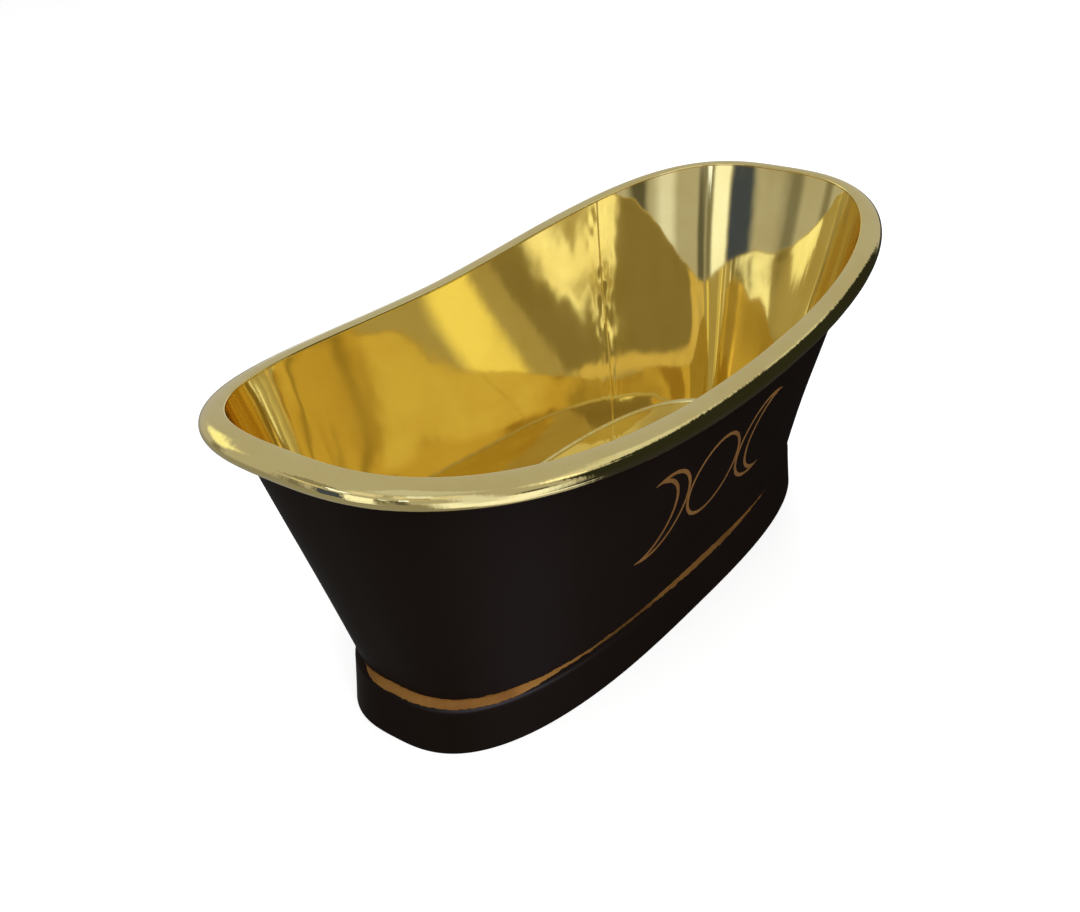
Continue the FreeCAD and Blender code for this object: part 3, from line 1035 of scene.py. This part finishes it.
def makeTurned(name, node, profile):
    # a profile of (reach, height) points, from the bottom up, turned round the node's upright axis
    low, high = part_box(node)
    middle = (low + high) / 2
    around, rows = turnedPiece["around"], len(profile) - 1
    piece = addDrum(name, around, rows)

    def place(station, row):
        turn = math.tau * station / around
        reach, height = profile[row]
        return Vector((middle.x + reach * math.cos(turn), middle.y + reach * math.sin(turn), height))

    shapeDrum(piece, around, rows, place)
    pickAlone(piece)
    bpy.ops.object.mode_set(mode="EDIT")
    bpy.ops.mesh.select_all(action="SELECT")
    bpy.ops.mesh.remove_doubles(threshold=turnedPiece["mergeReach"])  # closes the poles or the ring
    bpy.ops.object.mode_set(mode="OBJECT")
    piece.data.materials.append(fittingBrass)
    return piece


plugCap = {"crown": 0.003, "softEdge": 0.0006, "domeRows": 14}


def makePlugCap():
    settings = plugCap
    low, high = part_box("plug_cap")
    radius, soft = (high.x - low.x) / 2, settings["softEdge"]
    edge = high.z - settings["crown"]
    profile = [(0, low.z), (radius - soft, low.z), (radius, low.z + soft), (radius, edge - soft)]
    for row in range(settings["domeRows"] + 1):
        reach = (radius - soft) * (1 - row / settings["domeRows"])
        profile.append((reach, edge + settings["crown"] * (1 - (reach / radius) ** 2)))
    piece = makeTurned("plugCap", "plug_cap", profile)
    finishPiece(piece, "plug", "brass", "plug_cap")


makePlugCap()

wasteBody = {
    "tailRadius": 0.0239,
    "tailWall": 0.003,
    "flangeHeight": 0.003,
    "flangeBevel": 0.002,
    "grooveDepth": 0.001,
    "grooveWidth": 0.003,
    "softEdge": 0.001,
}


def makeWasteBody():
    settings = wasteBody
    low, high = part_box("waste_body")
    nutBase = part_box("waste_back_nut")[0].z
    flange, tail, soft = (high.x - low.x) / 2, settings["tailRadius"], settings["softEdge"]
    bore, groove = tail - settings["tailWall"], tail - settings["grooveDepth"]
    under, grooveEnd = high.z - settings["flangeHeight"], nutBase - settings["grooveWidth"]
    bevel = flange - settings["flangeBevel"]
    profile = [
        (bore, low.z), (tail - soft, low.z), (tail, low.z + soft), (tail, grooveEnd), (groove, grooveEnd),
        (groove, nutBase), (tail, nutBase), (tail, under), (flange, under), (flange, under + soft),
        (bevel, high.z), (bore + soft, high.z), (bore, high.z - soft), (bore, low.z),
    ]
    piece = makeTurned("wasteBody", "waste_body", profile)
    finishPiece(piece, "tub", "brass", "waste_body", smoothAngle=30)


makeWasteBody()


# carried-over CAD pieces get their finishes

nodeFinish = {
    "rail_": framePaint,
    "cross_bearer": framePaint,
    "leveller_bushes": zincPlate,
    "leveller_lock_nuts": zincPlate,
    "leveller_stem": zincPlate,
    "leveller_pad": blackRubber,
    "waste_bridge": fittingBrass,
    "waste_back_nut": fittingBrass,
    "waste_upper_washer": blackRubber,
    "waste_lower_washer": blackRubber,
    "plug_seal": blackRubber,
    "plug_cartridge": greyPlastic,
    "plug_spindle": fittingBrass,
}


def dressNodes():
    for node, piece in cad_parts.items():
        for start, material in nodeFinish.items():
            if node.startswith(start):
                piece.data.materials.clear()
                piece.data.materials.append(material)


dressNodes()
print("CAD pieces dressed")


# stage: floor, light tent, lamps and the camera

stageSet = {
    "floorSize": 60,
    "floorDrop": 0.0005,
    "floorGrey": (0.8, 0.8, 0.8, 1),
    "floorGlow": 0.60,
    "white": (1, 1, 1, 1),
    "worldGlow": 0.45,  # what the world gives to soft light
    "tentRadius": 9.0,
    "tentSegments": 64,
    "tentRings": 32,
    "tentGrey": (0.49, 0.49, 0.49, 1),
    "tentGround": (0.30, 0.30, 0.29, 1),
    "horizon": (-14, 2),  # degrees, from the ground's colour to the tent's
    "ragged": 0.05,  # how far the panels' edges stray up and down, in radians
    "raggedScale": 16.0,
    "keyPlace": (-2.5, -3.0, 4.5),
    "fillPlace": (3.0, 2.0, 5.0),
    "lampAim": (0, 0, 0.3),
    "lampPower": 120,
    "fillShare": 0.9,
    "lampSize": 4.0,
    "glossyBounces": 12,  # light runs several times across a polished tub
}


def sharpRays(tree):
    # one for camera, glossy and transmission rays, nothing for soft light
    path = addNode(tree, "LightPath").outputs
    first = addMath(tree, "MAXIMUM", path["Is Camera Ray"], path["Is Glossy Ray"])
    return addMath(tree, "MAXIMUM", first, path["Is Transmission Ray"])


def makeWorld():
    world = bpy.data.worlds.new("studio")
    bpy.context.scene.world = world
    world.use_nodes = True
    tree = world.node_tree
    level = addRange(tree, sharpRays(tree), 0.0, 1.0, stageSet["worldGlow"], 1.0)
    setSockets(tree, tree.nodes["Background"], Color=stageSet["white"], Strength=level)


def makeFloorStage():
    floor = addShape("studioFloor", bpy.ops.mesh.primitive_plane_add, size=stageSet["floorSize"],
                     location=(0, 0, cadLow.z - stageSet["floorDrop"]))
    material, tree, shader = newMaterial("studioFloor")
    tree.nodes.remove(shader)
    matte = addNode(tree, "BsdfDiffuse", Color=stageSet["floorGrey"]).outputs[0]
    level = addMath(tree, "MULTIPLY", sharpRays(tree), stageSet["floorGlow"])
    glow = addNode(tree, "Emission", Color=stageSet["white"], Strength=level).outputs[0]
    both = addNode(tree, "AddShader", _0=matte, _1=glow).outputs[0]
    setSockets(tree, tree.nodes["Material Output"], Surface=both)
    floor.data.materials.append(material)
    floor.visible_glossy = False


# azimuth from +Y towards +X and half width, elevation and half height, edge softness, colour;
# a later panel covers an earlier one
tentPanels = [
    # low, for the rim's underside and the outside
    (112, 50, -28, 33, 5, (0.03, 0.03, 0.03)),
    (105, 35, -69, 9, 3, (0.45, 0.45, 0.42)),
    (168, 28, -62, 13, 4, (1.05, 1.10, 1.30)),
    (-163, 28, -30, 32, 9, (1.15, 1.25, 1.50)),
    (-90, 9, -20, 8, 4, (1.10, 1.20, 1.40)),
    # overhead
    (-140, 55, 75, 15, 6, (0.62, 0.66, 0.74)),
    # about level, from the near side round past the head
    (-160, 9, 14, 38, 6, (0.84, 0.90, 1.08)),
    (177, 6, 8, 6, 3, (0.11, 0.11, 0.09)),
    (-117, 5, 4, 16, 3, (0.13, 0.13, 0.12)),
    (-107, 3, 4, 17, 2, (0.22, 0.22, 0.17)),
    (-93, 9, 5, 17, 2, (1.15, 1.25, 1.40)),
    (-74, 8, 2, 18, 2, (0.06, 0.08, 0.16)),
    (-56, 4, 2, 16, 3, (0.22, 0.22, 0.20)),
    (-24, 5, 2, 12, 4, (0.25, 0.24, 0.20)),
    # higher up, on the head's side
    (-78, 6, 31.5, 3.4, 1.2, (1.40, 1.62, 2.40)),
    (-59, 13, 37, 8.5, 1.3, (0.29, 0.28, 0.26)),
    (-70, 2.2, 34.2, 2.6, 0.6, (1.40, 1.62, 2.40)),
    (-60, 9, 26.3, 2.2, 1, (0.80, 0.74, 0.55)),
    (-10, 16, 27, 9, 5, (1.18, 1.22, 0.85)),
    (-120, 40, 44, 9, 6, (0.80, 0.80, 0.78)),
    (-135, 11, 52, 6, 3, (0.92, 1.02, 1.25)),
    (-130, 9, 39.5, 3.5, 1.5, (0.45, 0.40, 0.33)),
    (-110, 5, 44, 9, 4, (0.42, 0.42, 0.40)),
    (-108.8, 2.7, 20.2, 1.6, 0.5, (1.35, 1.60, 2.40)),
    (-121.5, 3.2, 24, 4, 0.8, (1.35, 1.60, 2.40)),
    # on the foot's side
    (135, 30, 42, 6, 4, (0.74, 0.76, 0.74)),
    (153, 6, 38, 5, 2, (1.35, 1.35, 1.25)),
    (55, 22, -3, 9, 4, (0.80, 0.84, 0.92)),
    (66, 10, -9, 5, 3, (1.15, 1.20, 1.30)),
    (122, 18, 8, 28, 2, (0.025, 0.028, 0.02)),
    (146, 16, 6, 23, 2, (0.025, 0.028, 0.02)),
]


def addPanel(tree, level, tilt, azimuth, width, rise, height, soft):
    # a mask for one soft-edged panel on the tent, all in degrees
    aim = math.radians(azimuth)
    facing = addNode(tree, "VectorMath", {"operation": "DOT_PRODUCT"}, _0=level,
                     _1=(math.sin(aim), math.cos(aim), 0)).outputs["Value"]
    aside = addMath(tree, "ARCCOSINE", facing)
    lift = addMath(tree, "ABSOLUTE", addMath(tree, "SUBTRACT", tilt, math.radians(rise)))
    masks = [addRange(tree, away, math.radians(half + soft), math.radians(half - soft), kind="SMOOTHSTEP")
             for away, half in ((aside, width), (lift, height))]
    return addMath(tree, "MULTIPLY", *masks)


def makeTent():
    # a grey tent with soft panels, which only reflections see
    tent = addShape("lightTent", bpy.ops.mesh.primitive_uv_sphere_add, segments=stageSet["tentSegments"],
                    ring_count=stageSet["tentRings"], radius=stageSet["tentRadius"])
    material, tree, shader = newMaterial("lightTent")
    tree.nodes.remove(shader)
    place = addDirection(tree, objectPlace(tree))
    parts = addNode(tree, "SeparateXYZ", Vector=place).outputs
    stray = addNoise(tree, place, stageSet["raggedScale"], detail=6.0, roughness=0.7)
    jog = addMath(tree, "MULTIPLY_ADD", stray, 2 * stageSet["ragged"], -stageSet["ragged"])
    tilt = addMath(tree, "ADD", addMath(tree, "ARCSINE", parts["Z"]), jog)
    flat = addNode(tree, "CombineXYZ", X=parts["X"], Y=parts["Y"]).outputs[0]
    level = addDirection(tree, flat)
    low, high = stageSet["horizon"]
    ground = addRange(tree, tilt, math.radians(low), math.radians(high))
    colour = addMix(tree, ground, stageSet["tentGround"], stageSet["tentGrey"])
    for *aim, tint in tentPanels:
        colour = addMix(tree, addPanel(tree, level, tilt, *aim), colour, (*tint, 1))
    glow = addNode(tree, "Emission", Color=colour, Strength=1.0).outputs[0]
    setSockets(tree, tree.nodes["Material Output"], Surface=glow)
    tent.data.materials.append(material)
    tent.visible_camera = False
    tent.visible_diffuse = False
    tent.visible_shadow = False
    tent.visible_transmission = False


def addLamp(name, place, power):
    lamp = bpy.data.lights.new(name, "AREA")
    lamp.energy = power
    lamp.shape = "DISK"
    lamp.size = stageSet["lampSize"]
    holder = bpy.data.objects.new(name, lamp)
    holder.location = place
    aim = Vector(stageSet["lampAim"]) - Vector(place)
    holder.rotation_euler = aim.to_track_quat("-Z", "Y").to_euler()
    holder.visible_glossy = False
    bpy.context.scene.collection.objects.link(holder)


photoView = {
    "place": (-1.8830, -1.3750, 1.6315),
    "yaw": math.radians(51.13),
    "pitch": math.radians(29.85),
    "roll": math.radians(3.63),
    "focal": 1253.7,  # in pixels of the frame below
    "frameWidth": 1080,
    "sensor": 36.0,
}


def makeCamera():
    view = photoView
    yaw, pitch, roll = view["yaw"], view["pitch"], view["roll"]
    ahead = Vector((math.sin(yaw) * math.cos(pitch), math.cos(yaw) * math.cos(pitch), -math.sin(pitch)))
    level = Vector((math.cos(yaw), -math.sin(yaw), 0))
    down = ahead.cross(level)
    right = level * math.cos(roll) + down * math.sin(roll)
    below = down * math.cos(roll) - level * math.sin(roll)
    lens = bpy.data.cameras.new("photoCamera")
    lens.sensor_width = view["sensor"]
    lens.lens = view["focal"] / view["frameWidth"] * view["sensor"]
    holder = bpy.data.objects.new("photoCamera", lens)
    turned = Matrix((right, -below, -ahead)).transposed()
    holder.matrix_world = Matrix.Translation(view["place"]) @ turned.to_4x4()
    bpy.context.scene.collection.objects.link(holder)
    bpy.context.scene.camera = holder


makeWorld()
makeFloorStage()
makeTent()
addLamp("keyLamp", stageSet["keyPlace"], stageSet["lampPower"])
addLamp("fillLamp", stageSet["fillPlace"], stageSet["lampPower"] * stageSet["fillShare"])
makeCamera()
bpy.context.scene.view_settings.view_transform = "Standard"
bpy.context.scene.cycles.glossy_bounces = stageSet["glossyBounces"]
print("stage and camera set")
